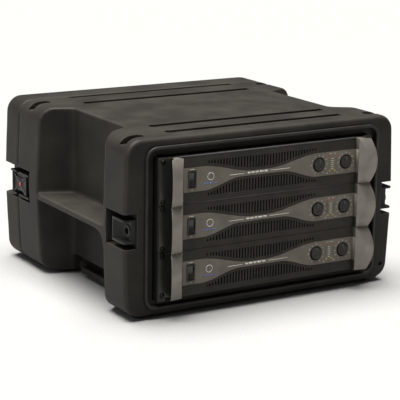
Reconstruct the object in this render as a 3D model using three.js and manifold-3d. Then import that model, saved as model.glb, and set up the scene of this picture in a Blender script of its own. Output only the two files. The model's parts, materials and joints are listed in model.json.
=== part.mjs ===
// A moulded rack case that holds three 2U power amplifiers, open at the front, lid on at the back.
// Millimetres, +Z up, the front faces -Y, origin at the middle of the base.
import * as THREE from 'three';
import { mergeVertices } from 'three/addons/utils/BufferGeometryUtils.js';
import Module from 'manifold-3d';

const wasm = await Module();
wasm.setup();

// ---- driving dimensions ----
const rackUnit = 44.45; // one unit of rack height
const panelWidth = 482.6; // a 19 inch front panel
const ampCount = 3;
const ampPitch = 2 * rackUnit;
const panelHeight = ampPitch - 0.8;

const caseWidth = 604; // at the base and at the top
const caseBulge = 6; // each side is this much further out at mid height, the parting line
const caseHeight = 337.5;
const bodyDepth = 464;
const lidDepth = 74;
const wall = 5;
const cornerRadius = 32;
const edgeRound = 5; // rounding of the front and back edges
const footHeight = 7;
const seam = 0.4; // between the lid and the body
const gap = 0.3; // between pieces that touch

const earAhead = 10.4; // the ears stand this far ahead of the case's front face
const handleReach = 35; // the handles stand this far ahead of the ears
const bayAboveBase = 34.3;

const totalDepth = handleReach + earAhead + bodyDepth + seam + lidDepth;
const earY = handleReach - totalDepth / 2;
const faceY = earY + earAhead;
const seamY = faceY + bodyDepth;
const lidY = seamY + seam;
const rearY = lidY + lidDepth;
const baseZ = footHeight;
const topZ = baseZ + caseHeight;
const midZ = (baseZ + topZ) / 2;
const bayZ = baseZ + bayAboveBase;

// side waists: a trapezoid cut in plan, crossed by a shelf to lift by
const outermost = caseWidth / 2 + caseBulge;
const waistX = 237;
const waistFront = [faceY + 80, faceY + 128]; // outer and inner end of the front slant
const waistRear = [faceY + 371, faceY + 342];
const shelfTop = bayZ + 128;
const shelfThick = 12;

// latch recesses, one at each upright corner
const recessX = 280;
const recessZ = [bayZ + 99, bayZ + 166];
const frontRecessEnd = faceY + 71;
const rearRecessStart = seamY - 58;

// front opening with its raised lip, and the ledge set back inside it
const openingHalf = 258;
const openingZ = [bayZ - 16, bayZ + 281.5];
const lipWidth = 6.4;
const lipProud = 5.4;
const ledgeY = [faceY + 6.8, faceY + 11.8];
const mouthHalf = 243;
const mouthZ = [bayZ - 8, bayZ + 268.6];

// amplifier
const earThick = 3;
const fasciaProud = 6;
const fasciaHalf = 198.6;
const chassisHalf = 220;
const chassisDepth = 336;
const chassisHeight = 84;
const sheet = 2;
const knobX = [111.5, 175];
const knobRadius = 11.9;
const knobProud = 2.5; // the knobs lie in wells, with their faces just ahead of the band
const wellRadius = 14.3;
const wellDepth = 6;
const rockerX = -174.2;
const rockerSize = [12.4, 26];
const rockerTilt = THREE.MathUtils.degToRad(9);
const fanX = 120;
const fanRadius = 36;

// ---- materials ----
function finish(color, roughness, metalness = 0) {
  return new THREE.MeshStandardMaterial({ color, roughness, metalness });
}
const polyethylene = finish(0x34322f, 0.62);
const blackAbs = finish(0x2b2a28, 0.5);
const nylon = finish(0x1f1f1f, 0.45);
const rubber = finish(0x161616, 0.85);
const steel = finish(0x2a2b2d, 0.45, 0.6);
const panelPlastic = finish(0x3f3d39, 0.55);
const waveGrey = finish(0x77726a, 0.5);
const silverPaint = finish(0xa29d93, 0.38, 0.5);
const knobBlack = finish(0x2c2b2a, 0.5);
const zinc = finish(0x8c8f92, 0.4, 0.9);
const boardGreen = finish(0x1d4a2c, 0.6);
const copper = finish(0x9a5a2f, 0.45, 0.6);
const alloy = finish(0x9fa3a6, 0.4, 0.9);

// ---- solid helpers ----
function solid(geometry) {
  const bare = geometry.clone();
  bare.deleteAttribute('normal');
  bare.deleteAttribute('uv');
  const merged = mergeVertices(bare, 1e-4);
  const vertProperties = new Float32Array(merged.attributes.position.array);
  const triVerts = new Uint32Array(merged.index.array);
  return new wasm.Manifold(new wasm.Mesh({ numProp: 3, vertProperties, triVerts }));
}

function geometryOf(manifold) {
  const mesh = manifold.getMesh();
  const geometry = new THREE.BufferGeometry();
  geometry.setAttribute('position', new THREE.BufferAttribute(mesh.vertProperties, 3));
  geometry.setIndex(new THREE.BufferAttribute(mesh.triVerts, 1));
  geometry.computeVertexNormals();
  return geometry;
}

function add(first, ...others) {
  return others.reduce((whole, other) => whole.add(other), first);
}

function subtract(first, ...others) {
  return others.reduce((whole, other) => whole.subtract(other), first);
}

function box(x, y, z) {
  const size = [x, y, z].map((span) => span[1] - span[0]);
  const middle = [x, y, z].map((span) => (span[0] + span[1]) / 2);
  return solid(new THREE.BoxGeometry(...size).translate(...middle));
}

// the bulge carries the middle of each side outward
function roundedRect(width, height, radius, bulge = 0) {
  const x = width / 2;
  const y = height / 2;
  const shape = new THREE.Shape();
  shape.moveTo(x, -y + radius);
  if (bulge) {
    shape.lineTo(x + bulge, 0);
  }
  shape.lineTo(x, y - radius);
  shape.absarc(x - radius, y - radius, radius, 0, Math.PI / 2);
  shape.lineTo(-x + radius, y);
  shape.absarc(-x + radius, y - radius, radius, Math.PI / 2, Math.PI);
  if (bulge) {
    shape.lineTo(-x - bulge, 0);
  }
  shape.lineTo(-x, -y + radius);
  shape.absarc(-x + radius, -y + radius, radius, Math.PI, Math.PI * 1.5);
  shape.lineTo(x - radius, -y);
  shape.absarc(x - radius, -y + radius, radius, Math.PI * 1.5, Math.PI * 2);
  return shape;
}

// an outline in X and Z, drawn out along Y from one place to another
function alongY(shape, y, { z = 0, bevel = 0, steps = 3 } = {}) {
  const depth = y[1] - y[0] - 2 * bevel;
  const geometry = new THREE.ExtrudeGeometry(shape, {
    depth,
    curveSegments: steps,
    bevelEnabled: bevel > 0,
    bevelThickness: bevel,
    bevelSize: bevel,
    bevelOffset: -bevel,
    bevelSegments: 2,
  });
  return solid(geometry.rotateX(Math.PI / 2).translate(0, y[1] - bevel, z));
}

// an outline in X and Y, drawn out along Z
function alongZ(points, z) {
  const shape = new THREE.Shape(points.map(([x, y]) => new THREE.Vector2(x, y)));
  const geometry = new THREE.ExtrudeGeometry(shape, { depth: z[1] - z[0], bevelEnabled: false });
  return solid(geometry.translate(0, 0, z[0]));
}

function cylinderY(radius, y, x, z, sides = 16) {
  const geometry = new THREE.CylinderGeometry(radius, radius, y[1] - y[0], sides);
  return solid(geometry.translate(0, (y[0] + y[1]) / 2, 0).translate(x, 0, z));
}

function cylinderX(radius, x, y, z, sides = 16) {
  const geometry = new THREE.CylinderGeometry(radius, radius, x[1] - x[0], sides);
  return solid(geometry.rotateZ(Math.PI / 2).translate((x[0] + x[1]) / 2, y, z));
}

function cylinderZ(radius, z, x, y, sides = 16) {
  const geometry = new THREE.CylinderGeometry(radius, radius, z[1] - z[0], sides);
  return solid(geometry.rotateX(Math.PI / 2).translate(x, y, (z[0] + z[1]) / 2));
}

const model = new THREE.Group();

function place(name, manifold, material, parent = model) {
  const mesh = new THREE.Mesh(geometryOf(manifold), material);
  mesh.name = name;
  parent.add(mesh);
  return mesh;
}

const sides = [['left', -1], ['right', 1]];

// a span on one side of the case, low end first
function spanOn(side, near, far) {
  return [side * near, side * far].sort((a, b) => a - b);
}

// ---- the moulded case ----
function waist(side) {
  const outline = [
    [side * (outermost + 1), waistFront[0]],
    [side * waistX, waistFront[1]],
    [side * waistX, waistRear[1]],
    [side * (outermost + 1), waistRear[0]],
  ];
  const ordered = side > 0 ? outline.reverse() : outline;
  return add(
    alongZ(ordered, [shelfTop, topZ + 1]),
    alongZ(ordered, [baseZ - 1, shelfTop - shelfThick]),
  );
}

// the hollow of the body: wide in the front and rear bumpers, narrow between the waists
function bodyHollow() {
  const outer = outermost - wall;
  const inner = waistX - wall;
  const slantShift = 6;
  const front = [faceY + wall, waistFront[0] - slantShift, waistFront[1] - slantShift];
  const rear = [seamY - wall, waistRear[0] + slantShift, waistRear[1] + slantShift];
  const zSpan = [baseZ, topZ];
  const wide = ([end, corner, neck]) => {
    const half = [[outer, end], [outer, corner], [inner, neck]];
    const mirrored = half.map(([x, y]) => [-x, y]).reverse();
    const outline = [...half, ...mirrored];
    return alongZ(end < corner ? outline : outline.reverse(), zSpan);
  };
  const tunnel = box([-inner, inner], [faceY + wall, seamY - wall], zSpan);
  const rounded = alongY(
    roundedRect(caseWidth - 2 * wall, caseHeight - 2 * wall, cornerRadius - wall, caseBulge),
    [faceY, seamY],
    { z: midZ },
  );
  return add(wide(front), tunnel, wide(rear)).intersect(rounded);
}

// a rounded hole through the front or the back, wider and higher by grow all round
function opening(half, z, y, radius, grow = 0) {
  const shape = roundedRect(2 * (half + grow), z[1] - z[0] + 2 * grow, radius + grow);
  return alongY(shape, y, { z: (z[0] + z[1]) / 2, steps: 2 });
}

// the stacking pockets take the feet of the case above
const footX = 262;
const footY = [faceY + 30, seamY - 34];

function stackingPocket(side, y, grow = 0) {
  const shape = roundedRect(56 + 2 * grow, 28 + 2 * grow, 13 + grow);
  const geometry = new THREE.ExtrudeGeometry(shape, { depth: 20, curveSegments: 2, bevelEnabled: false });
  return solid(geometry.translate(side * footX, y, topZ - footHeight - grow));
}

const grooveY = [faceY + 44, faceY + 104, seamY - 86, seamY - 10 - footHeight];
const grooveHalf = 196;

function topGroove(y) {
  return box([-grooveHalf, grooveHalf], [y - 4, y + 4], [topZ - 3, topZ + 1]);
}

// a shallow pocket low in each waist, for a strap
function strapPocket(side) {
  const y = [waistFront[1] + 10, waistRear[1] - 6];
  return box(spanOn(side, waistX - 3.5, waistX + 20), y, [baseZ + 14, bayZ - 1]);
}

function strapPocketBacking(side) {
  const y = [waistFront[1] + 5, waistRear[1] - 1];
  return box(spanOn(side, waistX - 8, waistX - 1), y, [baseZ + wall, bayZ + 4]);
}

function caseShell() {
  const outline = roundedRect(caseWidth, caseHeight, cornerRadius, caseBulge);
  let shell = alongY(outline, [faceY, seamY], { z: midZ, bevel: edgeRound });
  const waists = sides.map(([, side]) => waist(side));
  const blocks = sides.flatMap(([, side]) => {
    const x = spanOn(side, recessX - wall, outermost + 1);
    const z = [recessZ[0] - wall, recessZ[1] + wall];
    return [
      box(x, [faceY, frontRecessEnd + wall], z),
      box(x, [rearRecessStart - wall, seamY], z),
      strapPocketBacking(side),
      ...footY.map((y) => stackingPocket(side, y, wall - 1)),
    ];
  });
  const cuts = sides.flatMap(([, side]) => {
    const x = spanOn(side, recessX, outermost + 1);
    return [
      box(x, [faceY - 1, frontRecessEnd], recessZ),
      box(x, [rearRecessStart, seamY + 1], recessZ),
      strapPocket(side),
      ...footY.map((y) => stackingPocket(side, y)),
    ];
  });
  blocks.push(opening(openingHalf, openingZ, [faceY, ledgeY[1]], 18, wall));
  shell = subtract(shell, ...waists, subtract(bodyHollow(), ...blocks), ...cuts);
  shell = subtract(
    shell,
    opening(openingHalf, openingZ, [faceY - 1, ledgeY[0]], 18),
    opening(mouthHalf, mouthZ, [faceY - 1, ledgeY[1] + 1], 6),
    opening(openingHalf, openingZ, [seamY - wall - 1, seamY + 1], 18),
  );
  return subtract(shell, ...grooveY.map(topGroove));
}
place('case_shell', caseShell(), polyethylene);

// the raised lip that the front lid seats on
function frontLip() {
  const y = [faceY - lipProud, faceY - gap];
  const outer = opening(openingHalf, openingZ, y, 18, lipWidth);
  return subtract(outer, opening(openingHalf, openingZ, [y[0] - 1, y[1] + 1], 18));
}
place('front_lip', frontLip(), blackAbs);

function lidShell() {
  const outline = roundedRect(caseWidth, caseHeight, cornerRadius, caseBulge);
  const inner = roundedRect(caseWidth - 2 * wall, caseHeight - 2 * wall, cornerRadius - wall, caseBulge);
  const full = alongY(outline, [lidY, rearY + 20], { z: midZ, bevel: edgeRound });
  const rearRound = alongY(outline, [lidY - 20, rearY], { z: midZ, bevel: 18 });
  const hollow = alongY(inner, [lidY - 1, rearY - wall], { z: midZ, bevel: 12 });
  const blocks = sides.map(([, side]) => {
    const x = spanOn(side, recessX - wall, outermost + 1);
    return box(x, [lidY, rearY], [recessZ[0] - wall, recessZ[1] + wall]);
  });
  const cuts = sides.map(([, side]) => {
    const x = spanOn(side, recessX, outermost + 1);
    return box(x, [lidY - 1, rearY + 1], recessZ);
  });
  const ribCuts = [-1, 1].map((side) => {
    return box(spanOn(side, 96, 104), [rearY - 3, rearY + 1], [baseZ + 60, topZ - 60]);
  });
  const shell = subtract(full.intersect(rearRound), subtract(hollow, ...blocks), ...cuts, ...ribCuts);
  return shell;
}
place('rear_lid', lidShell(), polyethylene);

function foot(x, y) {
  const geometry = new THREE.CylinderGeometry(13, 10.5, footHeight - gap, 14);
  return solid(geometry.rotateX(Math.PI / 2).translate(x, y, (footHeight - gap) / 2));
}
for (const [name, side] of sides) {
  place(`foot_front_${name}`, foot(side * footX, footY[0]), rubber);
  place(`foot_rear_${name}`, foot(side * footX, footY[1]), rubber);
}

// ---- rack rails: one leg behind the ears, one leg running back beside the amplifiers ----
function rail(side, flangeY, legY) {
  const z = [mouthZ[0] + 1, mouthZ[1] - 1];
  const legX = spanOn(side, 237, 240);
  const flange = box(spanOn(side, 224, 240), flangeY, z);
  const leg = box(legX, [Math.min(flangeY[0], legY[0]), Math.max(flangeY[1], legY[1])], z);
  const anchor = box(legX, legY, [baseZ + wall + gap, topZ - footHeight - wall - gap]);
  return add(flange, leg, anchor);
}
for (const [name, side] of sides) {
  const front = earY + earThick + gap;
  place(`rack_rail_front_${name}`, rail(side, [front, front + 3], [ledgeY[1] + gap, faceY + 62]), steel);
  const rear = seamY - wall - 6;
  place(`rack_rail_rear_${name}`, rail(side, [rear - 3, rear], [rear - 56, rear]), steel);
}

// ---- latches ----
const keeperZ = [bayZ + 104, bayZ + 155]; // on the rear latches
const frontKeeperZ = [bayZ + 110, bayZ + 155];
const frontKeeperY = [faceY + 1.5, faceY + 49.5];
const flangeThick = 4;
const latchX = outermost - 2; // outer face of the latch pieces
const keeperBack = recessX + gap;

// a moulded bracket: two flanges, and between them a body that flares out to the rear, with an eye in front
function frontKeeper(side) {
  const y = frontKeeperY;
  const x = spanOn(side, keeperBack, latchX);
  const eyeX = latchX - 14;
  const top = box(x, y, [frontKeeperZ[1] - flangeThick, frontKeeperZ[1]]);
  const bottom = box(x, y, [frontKeeperZ[0], frontKeeperZ[0] + flangeThick]);
  const plan = [
    [keeperBack, y[0]], [eyeX, y[0]], [eyeX, y[0] + 20], [eyeX + 2.5, y[0] + 29],
    [eyeX + 7, y[0] + 37], [latchX - 1, y[1] - 3], [latchX - 1, y[1]], [keeperBack, y[1]],
  ].map(([px, py]) => [side * px, py]);
  const body = alongZ(side > 0 ? plan : plan.reverse(), frontKeeperZ);
  const middle = (frontKeeperZ[0] + frontKeeperZ[1]) / 2;
  const eye = cylinderX(13, spanOn(side, keeperBack + 2, eyeX + 1.5), y[0] + 13.5, middle);
  const hole = cylinderX(6.5, spanOn(side, eyeX - 6, eyeX + 3), y[0] + 13.5, middle);
  return subtract(add(top, bottom, body, eye), hole);
}

const leverThick = 6;
const leverZ = [keeperZ[0] + flangeThick + 1, keeperZ[1] - flangeThick - 1];
const leverEnd = seamY - 40;
const pivotY = lidY + 24;
const pivotX = latchX - leverThick / 2;
const nubY = [seamY - 14, seamY - 8];
const nubZ = [(leverZ[0] + leverZ[1]) / 2 - 3, (leverZ[0] + leverZ[1]) / 2 + 3];
const pinRadius = 2.5;

// the base on the lid: two cheeks and the hinge pin
function latchBase(side) {
  const y = [lidY + 8, lidY + 34];
  const x = spanOn(side, keeperBack, latchX);
  const top = box(x, y, [keeperZ[1] - flangeThick, keeperZ[1]]);
  const bottom = box(x, y, [keeperZ[0], keeperZ[0] + flangeThick]);
  const back = box(spanOn(side, keeperBack, keeperBack + 3), y, keeperZ);
  const pin = cylinderZ(pinRadius, keeperZ, side * pivotX, pivotY, 10);
  return add(top, bottom, back, pin);
}

// the lever turns out from the side of the case on the pin
function latchLever(side) {
  const x = spanOn(side, latchX - leverThick, latchX);
  const plate = box(x, [leverEnd, pivotY], leverZ);
  const knuckle = cylinderZ(4.4, leverZ, side * pivotX, pivotY, 12);
  const claw = box(spanOn(side, latchX - leverThick - 3, latchX - 1), [leverEnd, leverEnd + 5], leverZ);
  const bore = cylinderZ(pinRadius + gap, [leverZ[0] - 1, leverZ[1] + 1], side * pivotX, pivotY, 10);
  const nub = box(spanOn(side, latchX - 1, latchX + 1), nubY, nubZ);
  return subtract(add(plate, knuckle, claw, nub), bore);
}

for (const [name, side] of sides) {
  place(`keeper_front_${name}`, frontKeeper(side), nylon);
  const rear = [seamY - 50, seamY - 4];
  place(`keeper_rear_${name}`, rearKeeper(side, rear), nylon);
  place(`latch_base_${name}`, latchBase(side), nylon);
  place(`latch_lever_${name}`, latchLever(side), nylon);
}

// the rear keeper leaves room for the lever between its flanges
function rearKeeper(side, y) {
  const x = spanOn(side, keeperBack, latchX);
  const top = box(x, y, [keeperZ[1] - flangeThick, keeperZ[1]]);
  const bottom = box(x, y, [keeperZ[0], keeperZ[0] + flangeThick]);
  const back = box(spanOn(side, keeperBack, keeperBack + 3), y, keeperZ);
  const barrel = cylinderZ(4.5, keeperZ, side * (keeperBack + 5.5), y[0] + 20, 12);
  return add(top, bottom, back, barrel);
}

// ---- amplifiers ----
const waveHigh = 23.2; // half height of the pale band at its ends
const waveLow = 4.6; // half height at its narrowest
const ventPitch = 6.5;
const ventWidth = 3;
const ventX = [-138, 104];
const ventReach = 33;
const ventMargin = 5.5; // solid strip between the vents and the band

function ease(from, to, x) {
  const t = THREE.MathUtils.clamp((x - from) / (to - from), 0, 1);
  return t * t * (3 - 2 * t);
}

// upper and lower edge of the band, measured from the panel's middle line
function waveTop(x) {
  return waveHigh - (waveHigh - waveLow) * (ease(-152, -40, x) - ease(-5, 112, x));
}

function waveBottom(x) {
  return -waveHigh + (waveHigh - waveLow) * (ease(-150, -66, x) - ease(28, 108, x));
}

function fascia(y) {
  const half = panelHeight / 2;
  const vents = [];
  for (let x = ventX[0]; x < ventX[1]; x += ventPitch) {
    const span = [x - ventWidth / 2, x + ventWidth / 2];
    const above = Math.max(waveTop(span[0]), waveTop(span[1])) + ventMargin;
    const below = Math.min(waveBottom(span[0]), waveBottom(span[1])) - ventMargin;
    const through = [y[0] - 1, y[1] + 1];
    vents.push(box(span, through, [Math.min(above, ventReach - 4), ventReach]));
    vents.push(box(span, through, [-ventReach, Math.max(below, 4 - ventReach)]));
  }
  return subtract(box([-fasciaHalf, fasciaHalf], y, [-half, half]), ...vents);
}

const waveInset = 1.2; // the band lies in a recess this deep
const waveProud = 0.5;

function waveShape(grow) {
  const steps = 28;
  const end = fasciaHalf - 1.5 + grow;
  const top = [];
  const bottom = [];
  for (let i = 0; i <= steps; i += 1) {
    const x = -end + (2 * end * i) / steps;
    top.push(new THREE.Vector2(x, waveTop(x) + grow));
    bottom.push(new THREE.Vector2(x, waveBottom(x) - grow));
  }
  return new THREE.Shape([...bottom, ...top.reverse()]);
}

const fasciaY = earY - fasciaProud;

function knobWells() {
  return knobX.map((x) => cylinderY(wellRadius, [fasciaY - 9, fasciaY + wellDepth], x, 0, 24));
}

function frontPanel() {
  const half = panelHeight / 2;
  const ventY = [fasciaY, earY + earThick];
  const plate = box([-panelWidth / 2, panelWidth / 2], [earY, earY + earThick], [-half, half]);
  const plateHole = box([-fasciaHalf + 1, fasciaHalf - 1], [earY - 1, earY + earThick + 1], [-half + 1, half - 1]);
  let panel = add(subtract(plate, plateHole), fascia(ventY));
  panel = subtract(panel, alongY(waveShape(gap), [fasciaY - 1, fasciaY + waveInset]));
  const surround = box([rockerX - 8.7, rockerX + 8.7], [fasciaY - 2, earY + 1], [-16.2, 16.2]);
  const [width, height] = rockerSize;
  const rockerWindow = box([rockerX - width / 2 - 0.6, rockerX + width / 2 + 0.6],
    [fasciaY - 3, earY + earThick + 1], [-height / 2 - 1.4, height / 2 + 1.4]);
  const shafts = knobX.map((x) => cylinderY(4.5, [fasciaY - 1, earY + earThick + 1], x, 0, 12));
  return subtract(add(panel, surround), rockerWindow, ...shafts, ...knobWells());
}

function waveBand() {
  const plate = alongY(waveShape(0), [fasciaY - waveProud, fasciaY + waveInset - gap]);
  const rockerWindow = box([rockerX - 9, rockerX + 9], [fasciaY - 9, fasciaY + 9], [-16.5, 16.5]);
  return subtract(plate, rockerWindow, ...knobWells());
}

// pivots on a line across its middle and rests with its top pressed in
function rocker() {
  const [width, height] = rockerSize;
  const h = height / 2;
  const outline = [[-h, 4.2], [0, 1.6], [h, 4.2], [h - 2.5, -5], [-h + 2.5, -5]];
  const shape = new THREE.Shape(outline.map(([z, out]) => new THREE.Vector2(z, out)));
  const geometry = new THREE.ExtrudeGeometry(shape, { depth: width, bevelEnabled: false });
  const basis = new THREE.Matrix4().makeBasis(
    new THREE.Vector3(0, 0, 1),
    new THREE.Vector3(0, -1, 0),
    new THREE.Vector3(1, 0, 0),
  );
  geometry.applyMatrix4(basis).translate(-width / 2, 0, 0).rotateX(-rockerTilt);
  return solid(geometry.translate(rockerX, fasciaY + 1.5, 0));
}

// a flat knob on its shaft, with a pointer ridge on its face
function knob(x) {
  const back = fasciaY + wellDepth - 0.5;
  const front = fasciaY - waveProud - knobProud;
  const profile = [[0, 0], [knobRadius, 0], [knobRadius, back - front - 1], [knobRadius - 1, back - front], [0, back - front]];
  const lathe = new THREE.LatheGeometry(profile.map(([r, h]) => new THREE.Vector2(r, h)), 20);
  const body = solid(lathe.rotateX(Math.PI)).translate([x, back, 0]);
  const ridge = box([x - 1, x + 1], [front - 0.6, front + 1], [3, knobRadius - 1.4]);
  const shaft = cylinderY(3.2, [back - 2, earY + earThick + 10], x, 0, 10);
  return add(body, ridge, shaft);
}

// ---- handles: a leaning D with a finger hollow behind its band ----
const handleBase = [42.4, 16.6]; // inboard of the panel's end, and ahead of the ears
const handleCrease = [32, handleReach - 0.6];
const handleTip = [9, handleReach];
const handleTipEnd = [16.5, 20.6];
const handleThick = 3.2;

function handle(side) {
  const half = panelHeight / 2;
  const stations = 12;
  const mix = (a, b, t) => a.map((value, i) => value + (b[i] - value) * t);
  const positions = [];
  const rows = [];
  for (let i = 0; i <= stations; i += 1) {
    const along = -1 + (2 * i) / stations;
    const arch = 1 - along * along;
    const crease = mix(handleBase, handleCrease, arch);
    const tip = mix(handleTipEnd, handleTip, arch);
    const section = [
      [handleBase[0], gap], handleBase, crease, tip,
      [tip[0] + 2.2, tip[1] - handleThick], [crease[0] - 2.2, crease[1] - handleThick],
      [handleBase[0] - handleThick, handleBase[1] - handleThick], [handleBase[0] - handleThick, gap],
    ];
    if (arch < 0.02) {
      section[2] = [handleBase[0] - 0.05, handleBase[1] + 0.05];
    }
    rows.push(section.map(([inboard, ahead]) => {
      positions.push(side * (panelWidth / 2 - inboard), earY - ahead, along * half);
      return positions.length / 3 - 1;
    }));
  }
  const index = [];
  const triangle = (a, b, c) => index.push(...(side > 0 ? [a, b, c] : [a, c, b]));
  const around = rows[0].length;
  for (let i = 0; i < stations; i += 1) {
    for (let j = 0; j < around; j += 1) {
      const k = (j + 1) % around;
      triangle(rows[i][j], rows[i][k], rows[i + 1][k]);
      triangle(rows[i][j], rows[i + 1][k], rows[i + 1][j]);
    }
  }
  const cap = [[0, 1, 6], [0, 6, 7], [1, 2, 5], [1, 5, 6], [2, 3, 4], [2, 4, 5]];
  for (const [a, b, c] of cap) {
    triangle(rows[0][a], rows[0][c], rows[0][b]);
    triangle(rows[stations][a], rows[stations][b], rows[stations][c]);
  }
  const geometry = new THREE.BufferGeometry();
  geometry.setAttribute('position', new THREE.Float32BufferAttribute(positions, 3));
  geometry.setIndex(index);
  const gusset = (z) => alongZ(
    [[42, gap], [42, 15.5], [18, 18.5], [26, 8], [28, gap]]
      .map(([inboard, ahead]) => [side * (panelWidth / 2 - inboard), earY - ahead])
      .reverse(),
    z,
  );
  const ends = [gusset([-half, -half + 3]), gusset([half - 3, half])];
  return add(new wasm.Manifold(new wasm.Mesh({
    numProp: 3,
    vertProperties: new Float32Array(positions),
    triVerts: new Uint32Array(index),
  })), ...ends);
}

// ---- inside the amplifier ----
const trayFront = earY + earThick + gap;
const trayRear = trayFront + chassisDepth;

function chassisTray() {
  const h = chassisHeight / 2;
  const x = [-chassisHalf, chassisHalf];
  const floor = box(x, [trayFront, trayRear], [-h, -h + sheet]);
  const walls = sides.map(([, side]) => {
    return box(spanOn(side, chassisHalf - sheet, chassisHalf), [trayFront, trayRear], [-h, h]);
  });
  const back = box(x, [trayRear - sheet, trayRear], [-h, h]);
  const fanHole = cylinderY(fanRadius, [trayRear - 9, trayRear + 1], fanX, 0, 20);
  const spider = [
    box([fanX - fanRadius - 2, fanX + fanRadius + 2], [trayRear - sheet, trayRear], [-2, 2]),
    box([fanX - 2, fanX + 2], [trayRear - sheet, trayRear], [-fanRadius - 2, fanRadius + 2]),
    cylinderY(12, [trayRear - sheet, trayRear], fanX, 0, 12),
  ];
  const inlet = box([-190, -160], [trayRear - 9, trayRear + 1], [-14, 10]);
  return add(subtract(add(floor, ...walls, back), fanHole, inlet), ...spider);
}

function topCover() {
  const h = chassisHeight / 2;
  const y = [trayFront + 0.5, trayRear - 0.5];
  const plate = box([-chassisHalf + 0.5, chassisHalf - 0.5], y, [h + gap, h + gap + 1.2]);
  const flanges = sides.map(([, side]) => {
    const x = spanOn(side, chassisHalf - sheet - gap - 1.2, chassisHalf - sheet - gap);
    return box(x, [y[0], trayRear - sheet - 1], [h - 8, h + gap + 0.6]);
  });
  return add(plate, ...flanges);
}

function circuitBoard() {
  const h = chassisHeight / 2;
  const boardZ = [-h + 10, -h + 11.6];
  const board = box([-60, 190], [trayFront + 30, trayFront + 200], boardZ);
  const capacitors = [0, 1, 2, 3].map((i) => {
    return cylinderZ(14, [boardZ[1] - 0.5, boardZ[1] + 42], 30 + 36 * i, trayFront + 60, 12);
  });
  const posts = [[-52, 40], [182, 40], [-52, 190], [182, 190]].map(([x, y]) => {
    return box([x - 3, x + 3], [trayFront + y - 3, trayFront + y + 3], [-h + sheet + gap, boardZ[0] + 0.5]);
  });
  return add(board, ...capacitors, ...posts);
}

// a toroid with its middle filled by the potting, and a clamping disc and bolt on top
function transformer() {
  const h = chassisHeight / 2;
  const profile = [
    [0, -26], [51, -26], [58, -19], [58, 17], [51, 24], [24, 24], [16, 18], [16, 20], [6, 20], [6, 25], [0, 25],
  ];
  const lathe = new THREE.LatheGeometry(profile.map(([r, y]) => new THREE.Vector2(r, y)), 18);
  const coil = solid(lathe.rotateX(Math.PI / 2));
  return coil.translate([-140, trayFront + 110, -h + sheet + gap + 26]);
}

function heatsink() {
  const h = chassisHeight / 2;
  const y = [trayFront + 222, trayFront + 296];
  const spine = box([-100, 60], y, [-h + sheet + gap, -h + sheet + gap + 6]);
  const fins = [];
  for (let x = -98; x < 60; x += 14) {
    fins.push(box([x, x + 3], y, [-h + sheet + gap + 5, h - 12]));
  }
  return add(spine, ...fins);
}

function fanRotor() {
  const y = [trayRear - 30, trayRear - 8];
  const hub = cylinderY(14, y, 0, 0, 14);
  const blades = [];
  const bladeCount = 5;
  for (let i = 0; i < bladeCount; i += 1) {
    const blade = new THREE.BoxGeometry(fanRadius - 16, 1.6, 17);
    blade.rotateX(THREE.MathUtils.degToRad(52)).translate((fanRadius + 8) / 2, 0, 0);
    blade.rotateY((i * 2 * Math.PI) / bladeCount).translate(0, (y[0] + y[1]) / 2, 0);
    blades.push(solid(blade));
  }
  const spindle = cylinderY(3, [y[1] - 1, trayRear - sheet - gap], 0, 0, 8);
  return add(hub, ...blades, spindle).translate([fanX, 0, 0]);
}

const ampPieces = [
  ['front_panel', frontPanel(), panelPlastic],
  ['wave_band', waveBand(), waveGrey],
  ['handle_left', handle(-1), silverPaint],
  ['handle_right', handle(1), silverPaint],
  ['power_rocker', rocker(), knobBlack],
  ['gain_knob_1', knob(knobX[0]), knobBlack],
  ['gain_knob_2', knob(knobX[1]), knobBlack],
  ['chassis_tray', chassisTray(), zinc],
  ['top_cover', topCover(), zinc],
  ['circuit_board', circuitBoard(), boardGreen],
  ['transformer', transformer(), copper],
  ['heatsink', heatsink(), alloy],
  ['fan_rotor', fanRotor(), knobBlack],
];

for (let i = 0; i < ampCount; i += 1) {
  const amp = new THREE.Group();
  amp.position.z = bayZ + ampPitch * (ampCount - 1 - i) + panelHeight / 2 + 0.4;
  for (const [piece, manifold, material] of ampPieces) {
    place(`amp${i + 1}_${piece}`, manifold, material, amp);
  }
  model.add(amp);
}

export default model;
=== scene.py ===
# Rack case with three power amplifiers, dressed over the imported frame.
import json
import math
import bpy
import bmesh
from mathutils import Vector, Matrix

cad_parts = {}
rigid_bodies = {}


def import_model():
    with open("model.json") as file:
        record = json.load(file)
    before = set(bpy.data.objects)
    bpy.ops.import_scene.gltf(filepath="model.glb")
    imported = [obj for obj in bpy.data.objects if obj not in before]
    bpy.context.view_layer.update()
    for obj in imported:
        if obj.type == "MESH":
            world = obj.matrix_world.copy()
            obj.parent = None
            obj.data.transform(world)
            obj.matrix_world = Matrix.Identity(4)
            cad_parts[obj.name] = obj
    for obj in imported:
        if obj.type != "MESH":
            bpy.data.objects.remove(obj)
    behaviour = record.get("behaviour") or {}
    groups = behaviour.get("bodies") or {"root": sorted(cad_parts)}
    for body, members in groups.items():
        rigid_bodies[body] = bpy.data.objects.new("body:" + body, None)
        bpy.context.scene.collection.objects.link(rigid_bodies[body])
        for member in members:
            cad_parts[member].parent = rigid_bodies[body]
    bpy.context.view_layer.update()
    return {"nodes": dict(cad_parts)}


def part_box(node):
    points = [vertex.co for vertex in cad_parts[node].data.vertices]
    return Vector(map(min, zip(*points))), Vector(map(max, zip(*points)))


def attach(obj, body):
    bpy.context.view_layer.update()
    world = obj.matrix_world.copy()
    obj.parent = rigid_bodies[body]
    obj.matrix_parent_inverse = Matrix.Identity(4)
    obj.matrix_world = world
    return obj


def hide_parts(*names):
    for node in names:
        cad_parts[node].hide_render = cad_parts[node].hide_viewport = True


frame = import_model()
nodes = frame["nodes"]
mm = 0.001


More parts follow.
